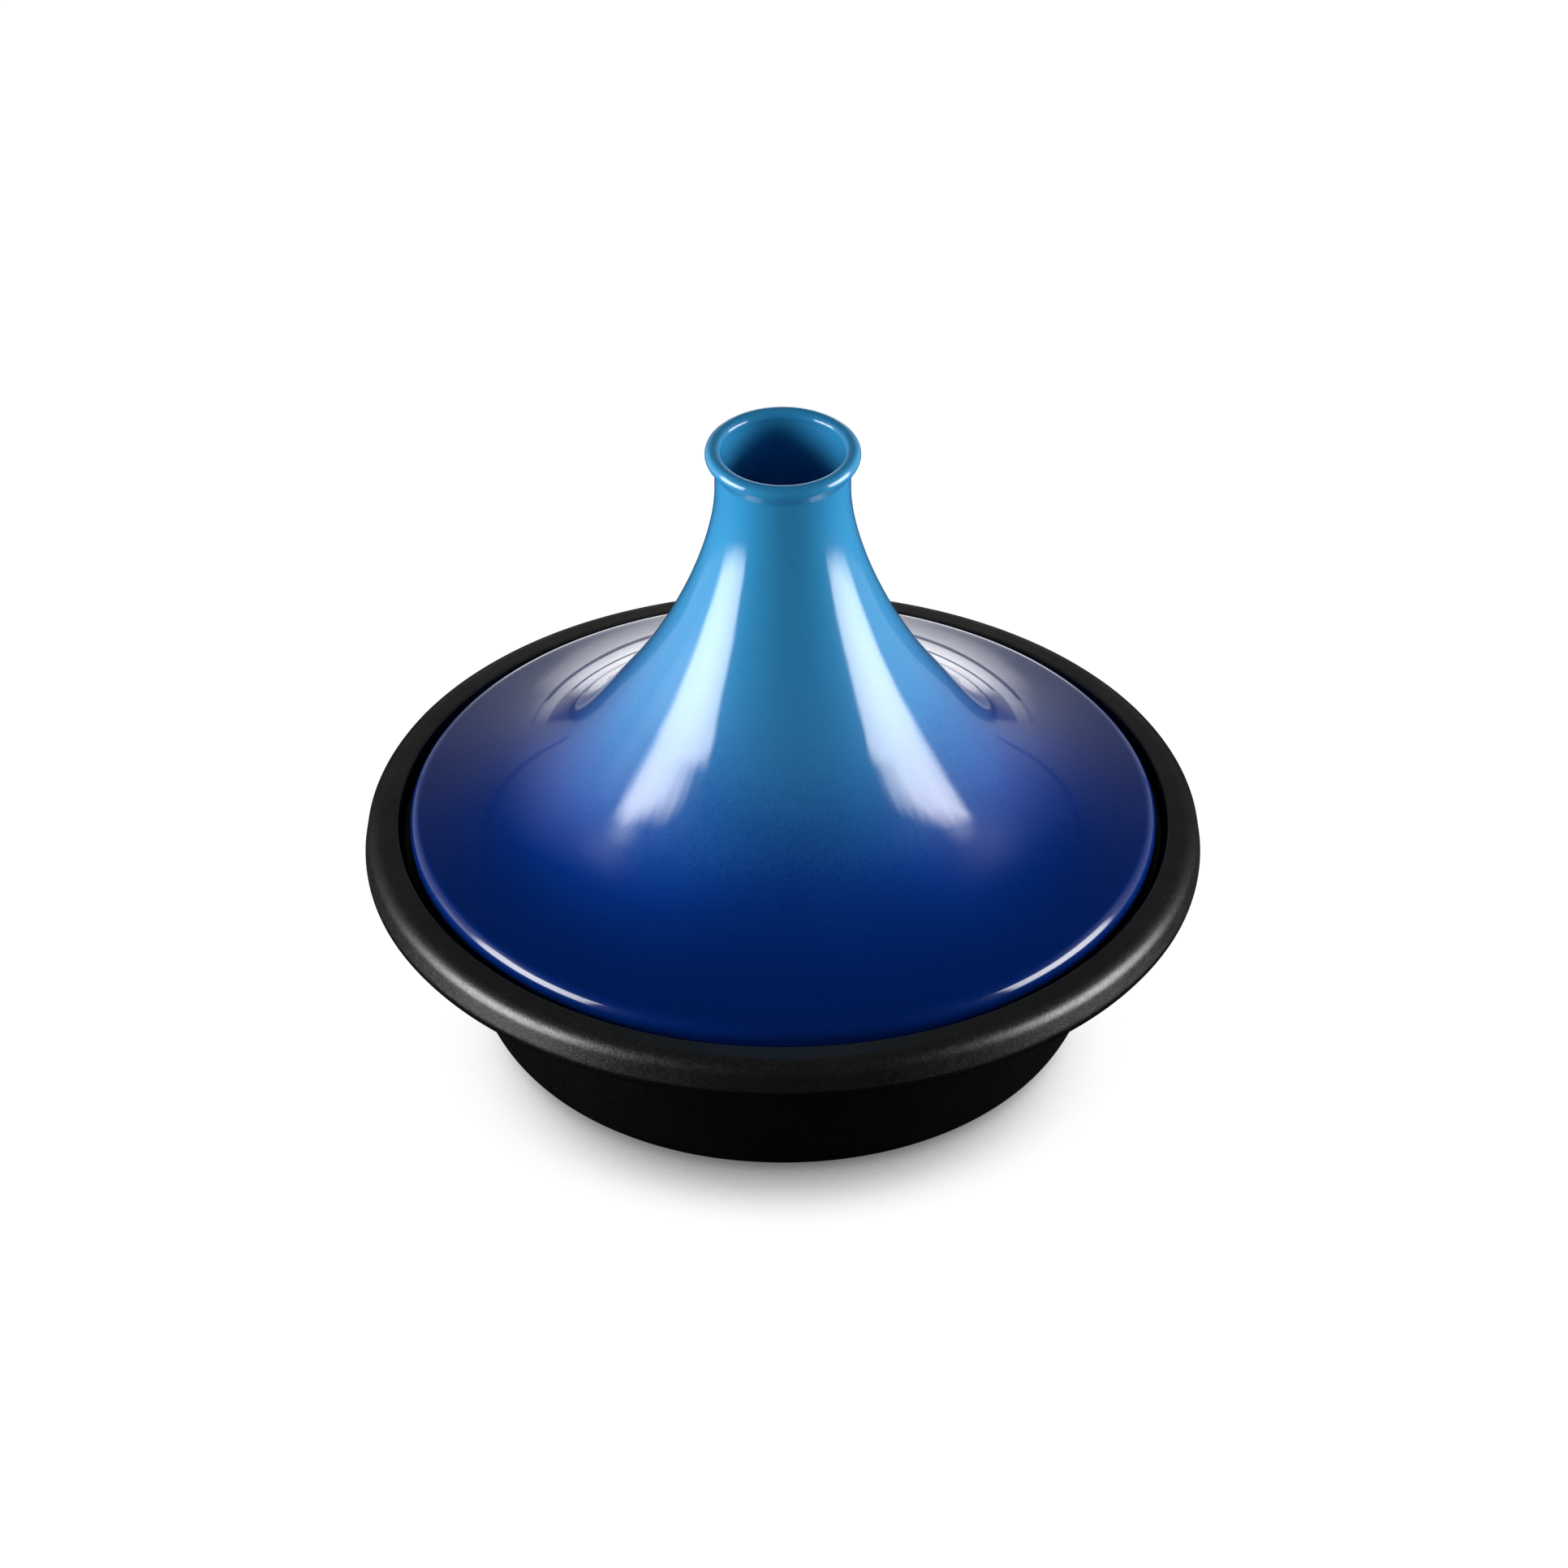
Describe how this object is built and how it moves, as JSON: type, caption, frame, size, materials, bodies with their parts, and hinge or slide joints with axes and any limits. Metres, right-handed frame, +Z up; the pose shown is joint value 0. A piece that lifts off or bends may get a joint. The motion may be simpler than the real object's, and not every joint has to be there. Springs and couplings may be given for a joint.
{
  "type": "tagine pot",
  "caption": "Round cast iron base with a wide rim and a recessed ledge, under a tall concave conical stoneware lid with a rolled lip and a blind well at its top.",
  "frame": {"origin": "centre of the base's foot, on the surface that the pot stands on", "axes": "+Z up along the axis that the base and the lid are turned about; X and Y are any two horizontal directions"},
  "size_m": [0.31, 0.31, 0.25],
  "materials": {
    "black_cast_iron": "matt black enamel with a fine cast texture",
    "blue_glaze": "glossy glaze, azure at the neck and deepening to navy at the edge"
  },
  "bodies": {
    "base": {"cast_iron_base": "black_cast_iron"},
    "lid": {"stoneware_lid": "blue_glaze"}
  },
  "joints": [
    {"name": "lid_lift", "type": "slide", "parent": "base", "child": "lid", "axis": [0, 0, 1], "range_m": [0, 0.16]}
  ]
}
